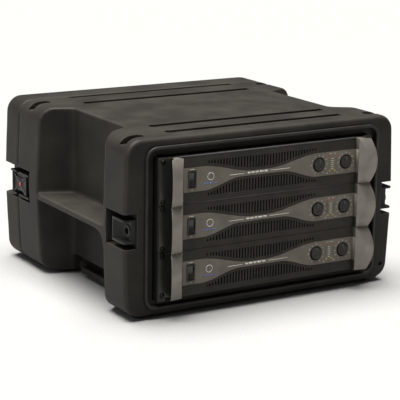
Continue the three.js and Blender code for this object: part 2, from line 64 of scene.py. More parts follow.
# where things are, in millimetres, read off the frame
def boxOf(node):
    low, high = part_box(node)
    return [v / mm for v in low], [v / mm for v in high]


caseLow, caseHigh = boxOf("case_shell")
lidLow, lidHigh = boxOf("rear_lid")
halfWidth = caseHigh[0]
endHalf = halfWidth - 6  # the sides lean in by this much to the base and to the top
faceY, seamY = caseLow[1], caseHigh[1]
lidY, rearY = lidLow[1], lidHigh[1]
baseZ, topZ = caseLow[2], caseHigh[2]
midZ = (baseZ + topZ) / 2
bayZ = baseZ + 34.3
earY = faceY - 10.4
panelHalf = 241.3
fasciaY = earY - 6
sides = (("left", -1), ("right", 1))


# mesh helpers, all lengths in millimetres
def newObject(name, verts, faces, smooth=True):
    mesh = bpy.data.meshes.new(name)
    mesh.from_pydata([Vector(v) * mm for v in verts], [], faces)
    mesh.validate()
    obj = bpy.data.objects.new(name, mesh)
    bpy.context.scene.collection.objects.link(obj)
    outward(obj)
    shade(obj, smooth)
    return obj


def outward(obj):
    bm = bmesh.new()
    bm.from_mesh(obj.data)
    bmesh.ops.recalc_face_normals(bm, faces=bm.faces)
    bm.to_mesh(obj.data)
    bm.free()


def shade(obj, smooth=True):
    obj.data.polygons.foreach_set("use_smooth", [smooth] * len(obj.data.polygons))


def shadeByAngle(obj, degrees):
    shade(obj)
    obj.data.set_sharp_from_angle(angle=math.radians(degrees))


def addModifier(obj, kind, **settings):
    modifier = obj.modifiers.new(kind.lower(), kind)
    for key, value in settings.items():
        setattr(modifier, key, value)
    return modifier


def applyModifiers(obj):
    graph = bpy.context.evaluated_depsgraph_get()
    mesh = bpy.data.meshes.new_from_object(obj.evaluated_get(graph))
    obj.modifiers.clear()
    old = obj.data
    obj.data = mesh
    mesh.name = obj.name
    bpy.data.meshes.remove(old)
    return obj


def combine(target, tools, operation="DIFFERENCE", solver="EXACT"):
    for tool in tools:
        addModifier(target, "BOOLEAN", object=tool, operation=operation, solver=solver)
    applyModifiers(target)
    for tool in tools:
        bpy.data.objects.remove(tool)
    return target


def softEdges(obj, width, segments=2, angle=35):
    addModifier(obj, "BEVEL", width=width * mm, segments=segments, limit_method="ANGLE",
                angle_limit=math.radians(angle), harden_normals=False, use_clamp_overlap=True)
    return obj


def join(name, parts):
    bm = bmesh.new()
    for part in parts:
        bm.from_mesh(part.data)
    mesh = bpy.data.meshes.new(name)
    bm.to_mesh(mesh)
    bm.free()
    obj = bpy.data.objects.new(name, mesh)
    bpy.context.scene.collection.objects.link(obj)
    for part in parts:
        bpy.data.objects.remove(part)
    return obj


def loft(rings, name="loft"):
    # closed solid through rings that hold the same number of points
    count = len(rings[0])
    verts = [p for ring in rings for p in ring]
    faces = []
    for i in range(len(rings) - 1):
        for j in range(count):
            k = (j + 1) % count
            faces.append((i * count + j, i * count + k, (i + 1) * count + k, (i + 1) * count + j))
    faces.append(tuple(range(count))[::-1])
    faces.append(tuple(range((len(rings) - 1) * count, len(rings) * count)))
    return newObject(name, verts, faces)


def prism(outline, axis, low, high, name="prism"):
    # axis x takes (y, z) points, axis y takes (x, z), axis z takes (x, y)
    def at(p, d):
        return {"x": (d, p[0], p[1]), "y": (p[0], d, p[1]), "z": (p[0], p[1], d)}[axis]
    return loft([[at(p, low) for p in outline], [at(p, high) for p in outline]], name)


def block(x, y, z, name="block"):
    return prism([(x[0], z[0]), (x[1], z[0]), (x[1], z[1]), (x[0], z[1])], "y", y[0], y[1], name)


def span(side, near, far):
    return sorted((side * near, side * far))


def roundCorners(points, radii, steps=6):
    # rounds each corner of a polygon by its own radius
    result = []
    count = len(points)
    for i, point in enumerate(points):
        corner = Vector(point)
        radius = radii[i] if isinstance(radii, (list, tuple)) else radii
        before = Vector(points[i - 1]) - corner
        after = Vector(points[(i + 1) % count]) - corner
        if radius <= 0:
            result.append(tuple(corner))
            continue
        half = before.angle(after) / 2
        reach = min(radius / math.tan(half), before.length * 0.49, after.length * 0.49)
        start = corner + before.normalized() * reach
        end = corner + after.normalized() * reach
        for s in range(steps + 1):
            t = s / steps
            result.append(tuple((1 - t) ** 2 * start + 2 * t * (1 - t) * corner + t ** 2 * end))
    return result


def roundedRect(width, height, radius, centre=(0, 0), steps=8):
    points = []
    for cx, cy, turn in ((1, -1, -90), (1, 1, 0), (-1, 1, 90), (-1, -1, 180)):
        for s in range(steps + 1):
            a = math.radians(turn + 90 * s / steps)
            points.append((centre[0] + cx * (width / 2 - radius) + radius * math.cos(a),
                           centre[1] + cy * (height / 2 - radius) + radius * math.sin(a)))
    return points


def circle(radius, centre=(0, 0), steps=24):
    return [(centre[0] + radius * math.cos(2 * math.pi * i / steps),
             centre[1] + radius * math.sin(2 * math.pi * i / steps)) for i in range(steps)]


def cylinder(radius, axis, low, high, centre, steps=24, name="cylinder"):
    return prism(circle(radius, centre, steps), axis, low, high, name)


def turned(profile, centre, y, steps=48, name="turned", flutes=0, fluteDepth=0.0, fluteRows=()):
    # (radius, distance ahead) pairs turned about the Y axis
    rings = []
    for row, (radius, ahead) in enumerate(profile):
        ring = []
        for i in range(steps):
            a = 2 * math.pi * i / steps
            r = radius
            if row in fluteRows:
                r -= fluteDepth * (0.5 + 0.5 * math.cos(flutes * a))
            ring.append((centre[0] + r * math.cos(a), y - ahead, centre[1] + r * math.sin(a)))
        rings.append(ring)
    return loft(rings, name)


def ease(low, high, x):
    t = min(1, max(0, (x - low) / (high - low)))
    return t * t * (3 - 2 * t)


# materials
def srgb(text):
    values = [int(text[i:i + 2], 16) / 255 for i in (1, 3, 5)]
    return [v / 12.92 if v <= 0.04045 else ((v + 0.055) / 1.055) ** 2.4 for v in values] + [1]


def addNode(tree, kind, settings=None, links=None):
    # one node with its settings, then its incoming links; stops are (position, hex colour or grey level)
    node = tree.nodes.new(kind)
    for key, value in (settings or {}).items():
        if key == "stops":
            for element, (position, tone) in zip(node.color_ramp.elements, value):
                element.position = position
                element.color = srgb(tone) if isinstance(tone, str) else [tone] * 3 + [1]
        elif isinstance(key, int) or key in node.inputs:
            node.inputs[key].default_value = value
        else:
            setattr(node, key, value)
    for key, socket in (links or {}).items():
        tree.links.new(socket, node.inputs[key])
    return node


def newMaterial(name, ior=None, metallic=0.0, roughness=0.5, specular=0.5, coat=0.0):
    material = bpy.data.materials.new(name)
    material.use_nodes = True
    tree = material.node_tree
    shader = tree.nodes["Principled BSDF"]
    shader.inputs["Metallic"].default_value = metallic
    shader.inputs["Roughness"].default_value = roughness
    shader.inputs["Specular IOR Level"].default_value = specular
    shader.inputs["Coat Weight"].default_value = coat
    if ior:
        shader.inputs["IOR"].default_value = ior
    place = addNode(tree, "ShaderNodeTexCoord").outputs["Object"]
    return material, tree, shader, place


def perMetre(sizeInMm):
    return 1 / (sizeInMm * mm)


def mouldedPolyethylene():
    # linear low density polyethylene, rotationally moulded: a dull pebbled skin whose tone drifts over
    # a hand's width, with the high edges made a little paler, partly as rubbed wear and partly as a painted
    # highlight along them
    looks = {"dark": "#252320", "pale": "#302e2a", "rubbedAndHighlit": "#3e3b37", "pebble": 1.9, "drift": 70,
             "pebbleHeight": 0.16, "roughness": (0.42, 0.54)}
    material, tree, shader, place = newMaterial("rotomoulded polyethylene", ior=1.51, specular=0.09)
    drift = addNode(tree, "ShaderNodeTexNoise", {"Scale": perMetre(looks["drift"]), "Detail": 3.0},
                    {"Vector": place})
    pebble = addNode(tree, "ShaderNodeTexNoise", {"Scale": perMetre(looks["pebble"]), "Detail": 2.0,
                                                  "Roughness": 0.55}, {"Vector": place})
    base = addNode(tree, "ShaderNodeValToRGB", {"stops": [(0.35, looks["dark"]), (0.68, looks["pale"])]},
                   {"Fac": drift.outputs["Fac"]}).outputs["Color"]
    grain = addNode(tree, "ShaderNodeValToRGB", {"stops": [(0.38, 0.82), (0.62, 1.08)]},
                    {"Fac": pebble.outputs["Fac"]}).outputs["Color"]
    tinted = addNode(tree, "ShaderNodeMix", {"data_type": "RGBA", "blend_type": "MULTIPLY", 0: 1.0},
                     {6: base, 7: grain})
    # the high edges, found by pointiness, turn paler: rubbed wear together with a painted highlight
    edge = addNode(tree, "ShaderNodeNewGeometry")
    edgeWearAndHighlight = addNode(tree, "ShaderNodeValToRGB", {"stops": [(0.51, 0.0), (0.58, 1.0)]},
                  {"Fac": edge.outputs["Pointiness"]}).outputs["Color"]
    wornAndHighlit = addNode(tree, "ShaderNodeMix", {"data_type": "RGBA", 7: srgb(looks["rubbedAndHighlit"])},
                   {0: edgeWearAndHighlight, 6: tinted.outputs[2]})
    smooth, rough = looks["roughness"]
    gloss = addNode(tree, "ShaderNodeMapRange", {"To Min": smooth, "To Max": rough},
                    {"Value": drift.outputs["Fac"]})
    bump = addNode(tree, "ShaderNodeBump", {"Strength": 0.5, "Distance": looks["pebbleHeight"] * mm},
                   {"Height": pebble.outputs["Fac"]})
    tree.links.new(wornAndHighlit.outputs[2], shader.inputs["Base Color"])
    tree.links.new(gloss.outputs["Result"], shader.inputs["Roughness"])
    tree.links.new(bump.outputs["Normal"], shader.inputs["Normal"])
    return material


def grainedPlastic(name, dark, pale, grain, height, roughness, drift=25, ior=1.53, specular=0.5):
    # injection moulded against a spark-eroded tool: an even fine grain
    material, tree, shader, place = newMaterial(name, ior=ior, specular=specular)
    broad = addNode(tree, "ShaderNodeTexNoise", {"Scale": perMetre(drift), "Detail": 2.0}, {"Vector": place})
    fine = addNode(tree, "ShaderNodeTexNoise", {"Scale": perMetre(grain), "Detail": 2.0}, {"Vector": place})
    base = addNode(tree, "ShaderNodeValToRGB", {"stops": [(0.3, dark), (0.7, pale)]},
                   {"Fac": broad.outputs["Fac"]}).outputs["Color"]
    speck = addNode(tree, "ShaderNodeValToRGB", {"stops": [(0.35, 0.88), (0.65, 1.06)]},
                    {"Fac": fine.outputs["Fac"]}).outputs["Color"]
    tinted = addNode(tree, "ShaderNodeMix", {"data_type": "RGBA", "blend_type": "MULTIPLY", 0: 1.0},
                     {6: base, 7: speck})
    gloss = addNode(tree, "ShaderNodeMapRange", {"To Min": roughness[0], "To Max": roughness[1]},
                    {"Value": fine.outputs["Fac"]})
    bump = addNode(tree, "ShaderNodeBump", {"Strength": 0.4, "Distance": height * mm},
                   {"Height": fine.outputs["Fac"]})
    tree.links.new(tinted.outputs[2], shader.inputs["Base Color"])
    tree.links.new(gloss.outputs["Result"], shader.inputs["Roughness"])
    tree.links.new(bump.outputs["Normal"], shader.inputs["Normal"])
    return material


def metalFinish(name, dark, pale, metallic, roughness, streak=(1, 1, 1), grain=1.5, height=0.02, coat=0.0):
    # streak stretches the grain along an axis, as brushing, rolling or extruding does
    material, tree, shader, place = newMaterial(name, metallic=metallic, coat=coat)
    stretch = addNode(tree, "ShaderNodeMapping", {"Scale": streak}, {"Vector": place})
    fine = addNode(tree, "ShaderNodeTexNoise", {"Scale": perMetre(grain), "Detail": 3.0},
                   {"Vector": stretch.outputs["Vector"]})
    broad = addNode(tree, "ShaderNodeTexNoise", {"Scale": perMetre(30), "Detail": 2.0}, {"Vector": place})
    blend = addNode(tree, "ShaderNodeMath", {"operation": "MULTIPLY_ADD", 1: 0.5},
                    {0: fine.outputs["Fac"], 2: broad.outputs["Fac"]})
    base = addNode(tree, "ShaderNodeValToRGB", {"stops": [(0.55, dark), (0.95, pale)]},
                   {"Fac": blend.outputs[0]}).outputs["Color"]
    gloss = addNode(tree, "ShaderNodeMapRange", {"To Min": roughness[0], "To Max": roughness[1]},
                    {"Value": fine.outputs["Fac"]})
    bump = addNode(tree, "ShaderNodeBump", {"Strength": 0.3, "Distance": height * mm},
                   {"Height": fine.outputs["Fac"]})
    tree.links.new(base, shader.inputs["Base Color"])
    tree.links.new(gloss.outputs["Result"], shader.inputs["Roughness"])
    tree.links.new(bump.outputs["Normal"], shader.inputs["Normal"])
    return material


def windingCopper():
    # enamelled copper wire wound into a toroid: close parallel strands round the ring
    material, tree, shader, place = newMaterial("enamelled copper wire", metallic=0.7, roughness=0.35)
    strands = addNode(tree, "ShaderNodeTexWave", {"Scale": perMetre(9), "Distortion": 1.5, "Detail": 1.0,
                                                  "bands_direction": "DIAGONAL"}, {"Vector": place})
    base = addNode(tree, "ShaderNodeValToRGB", {"stops": [(0.2, "#4a2412"), (0.8, "#a8602f")]},
                   {"Fac": strands.outputs["Fac"]}).outputs["Color"]
    bump = addNode(tree, "ShaderNodeBump", {"Strength": 0.6, "Distance": 0.3 * mm},
                   {"Height": strands.outputs["Fac"]})
    tree.links.new(base, shader.inputs["Base Color"])
    tree.links.new(bump.outputs["Normal"], shader.inputs["Normal"])
    return material


def solderMask():
    # fibreglass board under green solder mask: the tracks show as a paler squared pattern
    material, tree, shader, place = newMaterial("green solder mask", ior=1.5, roughness=0.35)
    tracks = addNode(tree, "ShaderNodeTexVoronoi", {"Scale": perMetre(7), "distance": "MANHATTAN",
                                                    "feature": "DISTANCE_TO_EDGE"}, {"Vector": place})
    base = addNode(tree, "ShaderNodeValToRGB", {"stops": [(0.05, "#2f6b45"), (0.12, "#163d26")]},
                   {"Fac": tracks.outputs["Distance"]}).outputs["Color"]
    tree.links.new(base, shader.inputs["Base Color"])
    return material


def ventShadeFoam():
    # open-cell polyurethane foam, black, set behind the vents as painted shade for the dark seen through them:
    # cells about a millimetre across
    material, tree, shader, place = newMaterial("black vent shade foam", ior=1.45, roughness=0.95, specular=0.1)
    cells = addNode(tree, "ShaderNodeTexVoronoi", {"Scale": perMetre(1.4)}, {"Vector": place})
    base = addNode(tree, "ShaderNodeValToRGB", {"stops": [(0.2, "#030303"), (0.7, "#0f0e0d")]},
                   {"Fac": cells.outputs["Distance"]}).outputs["Color"]
    bump = addNode(tree, "ShaderNodeBump", {"Strength": 0.8, "Distance": 0.5 * mm},
                   {"Height": cells.outputs["Distance"]})
    tree.links.new(base, shader.inputs["Base Color"])
    tree.links.new(bump.outputs["Normal"], shader.inputs["Normal"])
    return material


materials = {
    "case": mouldedPolyethylene(),
    # extruded ABS: the lip's skin is a shade paler and smoother than the case
    "lip": grainedPlastic("satin black ABS", "#242320", "#2d2b28", 1.1, 0.05, (0.36, 0.46), specular=0.18),
    # compression moulded: nearly black, with no shine
    "rubber": grainedPlastic("moulded black rubber", "#121212", "#1c1b1a", 1.3, 0.08, (0.7, 0.85), ior=1.52),
    # glass-filled nylon: slightly shiny, cloudy where the fibres come up
    "nylon": grainedPlastic("glass-filled nylon", "#121212", "#1b1b1a", 1.2, 0.06, (0.34, 0.5), drift=12,
                            specular=0.2),
    # dyed nylon: one small saturated spot
    "orange": grainedPlastic("orange nylon", "#d9481f", "#f0693a", 1.0, 0.03, (0.4, 0.5), drift=6),
    # moulded against a spark-eroded tool: dark warm grey with a dull fine grain
    "panel": grainedPlastic("textured dark grey polycarbonate", "#2b2926", "#34312d", 0.9, 0.06, (0.45, 0.6),
                            specular=0.1),
    # the same moulding in a paler, smoother finish, so that it reads as a satin stripe
    "band": grainedPlastic("satin warm grey polycarbonate", "#5e5951", "#6a655c", 0.8, 0.03, (0.36, 0.48),
                           specular=0.15),
    # pressed phenolic: matt black, a little dusty
    "knob": grainedPlastic("matt black phenolic", "#201f1e", "#2c2a28", 1.0, 0.08, (0.42, 0.6), drift=4,
                           specular=0.3),
    # polished in the tool: a soft highlight along each slope
    "rocker": grainedPlastic("glossy black nylon 66", "#161615", "#1f1e1d", 1.0, 0.02, (0.22, 0.32)),
    # silver lacquer over a moulding: partly metallic, with fine flake
    "silver": metalFinish("silver lacquer", "#6a665f", "#7b766e", 0.42, (0.32, 0.44), grain=0.7, coat=0.1),
    # rolled and plated sheet: bright, with faint streaks across it
    "zinc": metalFinish("zinc plated steel sheet", "#7d7f80", "#a3a5a6", 0.95, (0.3, 0.5),
                        (0.15, 1, 1), grain=2.5),
    # powder coat: fine orange peel under a low sheen
    "powder": metalFinish("black powder coated steel", "#151516", "#202122", 0.2, (0.45, 0.6),
                          grain=0.9, height=0.05),
    # sprayed enamel on sheet steel: smoother and darker than the moulding beside it
    "earPaint": metalFinish("black sprayed enamel", "#191919", "#1f1f1f", 0.1, (0.3, 0.42),
                            grain=0.8, height=0.015),
    # chemically blackened: a dull dark glint
    "oxide": metalFinish("black oxide steel", "#0f0f10", "#1c1c1e", 0.7, (0.35, 0.5),
                         grain=1.0),
    # drawn through a die: long fine lines from front to back
    "extrusion": metalFinish("extruded aluminium", "#8f9193", "#b4b6b8", 0.95, (0.3, 0.45),
                             (1, 0.05, 1), grain=1.2),
    "copper": windingCopper(),
    "board": solderMask(),
    # black foam behind the vents: painted shade
    "foam": ventShadeFoam(),
    # screen printing ink: a dry flat film with pinholes
    "paleInk": grainedPlastic("pale grey screen ink", "#b3b0a7", "#c6c3ba", 0.5, 0.01, (0.5, 0.65), drift=2),
    "pointerInk": grainedPlastic("dark grey screen ink", "#434140", "#4d4b49", 0.5, 0.01, (0.5, 0.65), drift=2),
    "blueInk": grainedPlastic("blue screen ink", "#4a5c9e", "#5c6db0", 0.5, 0.01, (0.5, 0.65), drift=2),
    # tinted epoxy of an unlit indicator: deep colour with a soft gloss
    "redLens": grainedPlastic("red tinted epoxy", "#a01e18", "#c23026", 0.6, 0.01, (0.2, 0.3), drift=2),
    "greenLens": grainedPlastic("green tinted epoxy", "#35512c", "#4a6a3c", 0.6, 0.01, (0.2, 0.3), drift=2),
    "amberLens": grainedPlastic("amber tinted epoxy", "#a08a2a", "#c2a93c", 0.6, 0.01, (0.2, 0.3), drift=2),
}
print("materials made:", len(materials))


def wear(obj, key):
    obj.data.materials.clear()
    obj.data.materials.append(materials[key])
    return obj


def finishPiece(obj, key, body, replaced=()):
    wear(obj, key)
    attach(obj, body)
    if replaced:
        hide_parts(*replaced)
    return obj


# the case body
caseLooks = {"wall": 10, "cornerRadius": 32, "topEdge": 8, "sideEdge": 4.5, "voxel": 3.0, "smoothing": 4,
             "openingHalf": 258, "openingZ": (bayZ - 16, bayZ + 281.5), "mouthHalf": 243,
             "mouthZ": (bayZ - 8, bayZ + 268.6), "waistX": 237, "waistFront": (86.6, 127.6),
             "waistRear": (367.6, 341.6), "slantRun": 65, "waistRound": 16, "archRound": 30,
             "shelfTop": bayZ + 128, "shelfThick": 13,
             "insideY": (12, 76, 118, 351, 377, seamY - faceY - 8), "grooveY": (44.5, 105.5, 379.5, 452.5),
             "pocketY": (faceY + 32, seamY - 42), "pocketSize": (52, 21, 10), "pocketX": 276, "pocketTurn": -5,
             "strapY": (faceY + 140, faceY + 340.6), "strapSlot": 26.6, "rivetAt": (285, bayZ - 4),
             "rivetHole": 4.5,
             "recessX": 280, "recessZ": (bayZ + 99, bayZ + 166), "frontRecess": 71, "rearRecess": 58,
             "grooveWidth": 18, "grooveDepth": 6, "grooveX": (-187, 203), "dimple": 10.5, "pocketDepth": 14}


def caseOutline(sideInset, topInset, radius):
    # a rounded rectangle whose sides stand out at mid height
    half = endHalf - sideInset
    points = roundedRect(2 * half, topZ - baseZ - 2 * topInset, max(radius - topInset, 3), (0, midZ))
    count = len(points) // 4
    widest = half + halfWidth - endHalf
    right, middle, left = points[:count], points[count:3 * count], points[3 * count:]
    return right + [(widest, midZ)] + middle + [(-widest, midZ)] + left


def roundedBody(start, end, startRound, endRound, radius, steps=5):
    # each rounding is (along Y, in from the sides, in from the top and base)
    rings = []
    for i in range(steps + 1):
        a = math.pi / 2 * i / steps
        deep, side, top = startRound
        outline = caseOutline(side * (1 - math.sin(a)), top * (1 - math.sin(a)), radius)
        rings.append([(px, start + deep * (1 - math.cos(a)), pz) for px, pz in outline])
    for i in range(steps, -1, -1):
        a = math.pi / 2 * i / steps
        deep, side, top = endRound
        outline = caseOutline(side * (1 - math.sin(a)), top * (1 - math.sin(a)), radius)
        rings.append([(px, end - deep * (1 - math.cos(a)), pz) for px, pz in outline])
    return loft(rings, "body")


def waistCutters(side):
    # the waist narrows from the outer to the inner end of each slant, above and below the shelf
    looks = caseLooks
    beyond = 12
    outer, inner = endHalf + beyond, looks["waistX"]
    yFront, yFrontInner = (faceY + v for v in looks["waistFront"])
    yRear, yRearInner = (faceY + v for v in looks["waistRear"])
    run = looks["slantRun"]
    front = yFront - (yFrontInner - yFront) / run * beyond
    rear = yRear + (yRear - yRearInner) / run * beyond
    plan = ((outer, front), (inner, yFrontInner), (inner, yRearInner), (outer, rear))
    plan = roundCorners([(side * x, y) for x, y in plan], [0, looks["waistRound"], looks["waistRound"], 0])
    shelfTop, shelfUnder = looks["shelfTop"], looks["shelfTop"] - looks["shelfThick"]
    upper = prism(plan, "z", shelfTop, topZ + 20)
    lower = prism(plan, "z", baseZ - 20, shelfUnder)
    below, behind = baseZ - 30, rear + 5
    arch = [(yFront, below), (yFront, shelfUnder), (behind, shelfUnder), (behind, below)]
    arch = prism(roundCorners(arch, [0, looks["archRound"], 0, 0]), "x", *span(side, 200, outer + 5))
    return [upper, combine(lower, [arch], "INTERSECT")]


def caseHollow():
    # plan of the inside: wide in both bumpers, narrow between the waists
    looks = caseLooks
    outer = halfWidth - looks["wall"]
    inner = looks["waistX"] - looks["wall"]
    z = (baseZ + looks["wall"], topZ - looks["wall"])
    plan = zip((outer, outer, inner, inner, outer, outer), looks["insideY"])
    outline = [(x, faceY + y) for x, y in plan]
    outline += [(-x, y) for x, y in reversed(outline)]
    hollow = prism(outline, "z", *z)
    rounded = caseOutline(looks["wall"], looks["wall"], looks["cornerRadius"])
    return combine(hollow, [prism(rounded, "y", faceY, seamY)], "INTERSECT")


def topPocket(side, y, depth, grow=0):
    length, width, radius = caseLooks["pocketSize"]
    outline = roundedRect(length + 2 * grow, width + 2 * grow, radius + grow)
    turn = Matrix.Rotation(math.radians(caseLooks["pocketTurn"] * side), 2)
    outline = [tuple(turn @ Vector(p) + Vector((side * caseLooks["pocketX"], y))) for p in outline]
    return prism(outline, "z", topZ - depth, topZ + 10)


def moulded(shell):
    # melts the sharp joints into one soft skin
    addModifier(shell, "REMESH", mode="VOXEL", voxel_size=caseLooks["voxel"] * mm)
    addModifier(shell, "SMOOTH", factor=0.5, iterations=caseLooks["smoothing"])
    return applyModifiers(shell)


def buildCase():
    looks = caseLooks
    shell = roundedBody(faceY, seamY, (looks["topEdge"], looks["sideEdge"], looks["topEdge"]), (4, 4, 4),
                        looks["cornerRadius"])
    liners, softCuts, crispCuts = [], [], []
    frontRecess = (faceY - 5, faceY + looks["frontRecess"])
    rearRecess = (seamY - looks["rearRecess"], seamY + 5)
    for _, side in sides:
        z = looks["recessZ"]
        for y in (frontRecess, rearRecess):
            lining = (y[0] - 8, y[1] + 8), (z[0] - 8, z[1] + 8)
            liners.append(block(span(side, looks["recessX"] - 8, halfWidth), *lining))
            crispCuts.append(block(span(side, looks["recessX"], halfWidth + 10), y, z))
        # the strap pocket low in the waist, open at its rear end
        start, end = looks["strapY"]
        liners.append(block(span(side, 206, 236), (start - 7, end + 7), (baseZ + 4, bayZ + 5)))
        softCuts.append(block(span(side, 214, 260), (start, end), (baseZ + 15, bayZ)))
        softCuts.append(block(span(side, 222, 260), (end - looks["strapSlot"], end), (baseZ - 5, bayZ - 4)))
        for y in looks["pocketY"]:
            liners.append(topPocket(side, y, looks["pocketDepth"] + 7, 6))
            crispCuts.append(topPocket(side, y, looks["pocketDepth"]))
        softCuts += waistCutters(side)
    hollow = combine(caseHollow(), liners)
    left, right = looks["grooveX"]
    half, low = looks["grooveWidth"] / 2, topZ - looks["grooveDepth"]
    for y in [faceY + v for v in looks["grooveY"]]:
        crispCuts.append(block((left, right), (y - half, y + half), (low, topZ + 5)))
        crispCuts.append(cylinder(looks["dimple"], "z", low - 0.7, topZ + 6, (left, y), 32))
    bottom, top = looks["openingZ"]
    opening = roundedRect(2 * looks["openingHalf"] + 6, top - bottom + 6, 20, (0, (bottom + top) / 2))
    softCuts.append(prism(opening, "y", faceY - 5, faceY + 14))
    softCuts.append(prism(opening, "y", seamY - 12, seamY + 5))
    # the rivet hole low on the right of the front face
    crispCuts.append(cylinder(looks["rivetHole"], "y", faceY - 5, faceY + 5, looks["rivetAt"]))
    shell = moulded(combine(shell, [hollow] + softCuts))
    combine(shell, crispCuts, solver="MANIFOLD")
    shadeByAngle(shell, 48)
    shell.name = "case_body"
    return finishPiece(shell, "case", "case", ["case_shell"])


caseBody = buildCase()
print("case body:", len(caseBody.data.polygons), "faces")


# the raised lip round the opening, and the ledge set back inside it
def sweepRing(name, stations):
    # stations are (half width, lowest z, highest z, corner radius, y), carried round to a closed section
    rings = []
    for half, low, high, radius, y in stations:
        outline = roundedRect(2 * half, high - low, radius, (0, (low + high) / 2), steps=10)
        rings.append([(px, y, pz) for px, pz in outline])
    count = len(rings[0])
    verts = [p for ring in rings for p in ring]
    faces = []
    for i in range(len(rings)):
        n = (i + 1) % len(rings)
        for j in range(count):
            k = (j + 1) % count
            faces.append((i * count + j, i * count + k, n * count + k, n * count + j))
    return newObject(name, verts, faces)


def aroundOpening(out, y, radius=18):
    low, high = caseLooks["openingZ"]
    return (caseLooks["openingHalf"] + out, low - out, high + out, radius + out, y)


def aroundMouth(out, y):
    low, high = caseLooks["mouthZ"]
    return (caseLooks["mouthHalf"] + out, low - out, high + out, 6 + out, y)


lipLooks = {"proud": 5.3, "width": 6.4, "round": 1.8}


def buildLip():
    front, edge, width = faceY - lipLooks["proud"], lipLooks["round"], lipLooks["width"]
    foot = faceY - 0.3
    soft = 0.3 * edge
    section = [(0.1, foot), (0.1, front + edge), (0.1 + soft, front + soft), (0.1 + edge, front),
               (width - edge, front), (width - soft, front + soft), (width, front + edge), (width, foot)]
    lip = sweepRing("opening_lip", [aroundOpening(out, y) for out, y in section])
    finishPiece(lip, "lip", "case", ["front_lip"])
    outside = ((3.4, 0.4), (0.3, 0.4), (0.3, 6.4), (-0.4, 7))
    inside = ((1.2, 7), (0.3, 7.5), (0, 8.5), (0, 11.6))
    section = [aroundOpening(out, faceY + back) for out, back in outside]
    section += [aroundMouth(out, faceY + back) for out, back in inside] + [aroundOpening(3.4, faceY + 11.6)]
    ledge = sweepRing("opening_ledge", section)
    shadeByAngle(ledge, 40)
    finishPiece(ledge, "case", "case")


buildLip()


# the rear lid
lidLooks = {"rearRound": (18, 24, 10), "wall": 8, "grooves": (-150, -50, 50, 150),
            "grooveSize": (14, 210, 4)}


def buildLid():
    looks = lidLooks
    shell = roundedBody(lidY, rearY, (3, 3, 3), looks["rearRound"], caseLooks["cornerRadius"])
    inner = caseOutline(looks["wall"], looks["wall"], caseLooks["cornerRadius"])
    hollow = prism(inner, "y", lidY - 5, rearY - 12)
    z = caseLooks["recessZ"]
    liners, cutters = [], []
    for _, side in sides:
        x = caseLooks["recessX"]
        liners.append(block(span(side, x - 8, halfWidth), (lidY - 1, rearY), (z[0] - 8, z[1] + 8)))
        cutters.append(block(span(side, x, halfWidth + 10), (lidY - 5, rearY + 5), z))
    hollow = combine(hollow, liners)
    width, height, depth = looks["grooveSize"]
    grooves = [prism(roundedRect(width, height, width / 2 - 0.1, (x, midZ)), "y", rearY - depth, rearY + 5)
               for x in looks["grooves"]]
    shell = moulded(combine(shell, [hollow] + grooves))
    combine(shell, cutters, solver="MANIFOLD")
    shadeByAngle(shell, 48)
    shell.name = "lid_shell"
    return finishPiece(shell, "case", "rear_lid", ["rear_lid"])


lid = buildLid()
print("rear lid:", len(lid.data.polygons), "faces")


# feet
for name in ("front_left", "front_right", "rear_left", "rear_right"):
    low, high = boxOf("foot_" + name)
    centre = ((low[0] + high[0]) / 2, (low[1] + high[1]) / 2)
    profile = [(3, 0.0), (10, 0.0), (11.6, 0.8), (12.6, 2.6), (12.9, high[2])]
    rings = [[(x, y, z) for x, y in circle(r, centre, 32)] for r, z in profile]
    foot = loft(rings, "foot_pad_" + name)
    finishPiece(foot, "rubber", "case", ["foot_" + name])


# latches
latchLooks = {"outer": halfWidth - 2, "back": 280.5, "setBack": 14, "eye": (13.5, 13, 6.5), "flange": 4,
              "pinBehindLid": 24, "plate": (5.5, 1.5), "rib": 1.6, "knuckle": (4.2, 2.9)}


def frontKeeper(name, side):
    # two flanges at full width, and between them a body set back at the eye that flares out behind it
    low, high = boxOf("keeper_front_" + name)
    y0, y1, z0, z1 = low[1], high[1], low[2], high[2]
    outer, back, thick = (latchLooks[k] for k in ("outer", "back", "flange"))
    eyeBehind, bossRadius, eyeRadius = latchLooks["eye"]
    eyeX, eyeY, middleZ = outer - latchLooks["setBack"], y0 + eyeBehind, (z0 + z1) / 2
    plan = [(back, y0 + 0.3), (eyeX, y0 + 0.3), (eyeX, y0 + 18)]
    for i in range(1, 11):
        t = i / 10
        flare = (latchLooks["setBack"] - 1) * (1 - math.cos(t * math.pi / 2))
        plan.append((eyeX + flare, y0 + 18 + (y1 - 21 - y0) * t))
    plan += [(outer - 1, y1), (back, y1)]
    middle = prism([(side * px, py) for px, py in plan], "z", z0 + 1, z1 - 1)
    flange = roundCorners([(back, y0), (outer, y0), (outer, y1), (back, y1)], [0, 5, 2.5, 0], 4)
    flange = [(side * px, py) for px, py in flange]
    plates = [prism(flange, "z", z0, z0 + thick), prism(flange, "z", z1 - thick, z1)]
    boss = cylinder(bossRadius, "x", *span(side, back + 2, eyeX + 1.5), (eyeY, middleZ), 40)
    keeper = combine(middle, plates + [boss], "UNION")
    combine(keeper, [cylinder(eyeRadius, "x", *span(side, eyeX - 6, eyeX + 5), (eyeY, middleZ), 32)])
    softEdges(keeper, 0.7)
    applyModifiers(keeper)
    shadeByAngle(keeper, 40)
    keeper.name = "front_keeper_" + name
    return finishPiece(keeper, "nylon", "case", ["keeper_front_" + name])


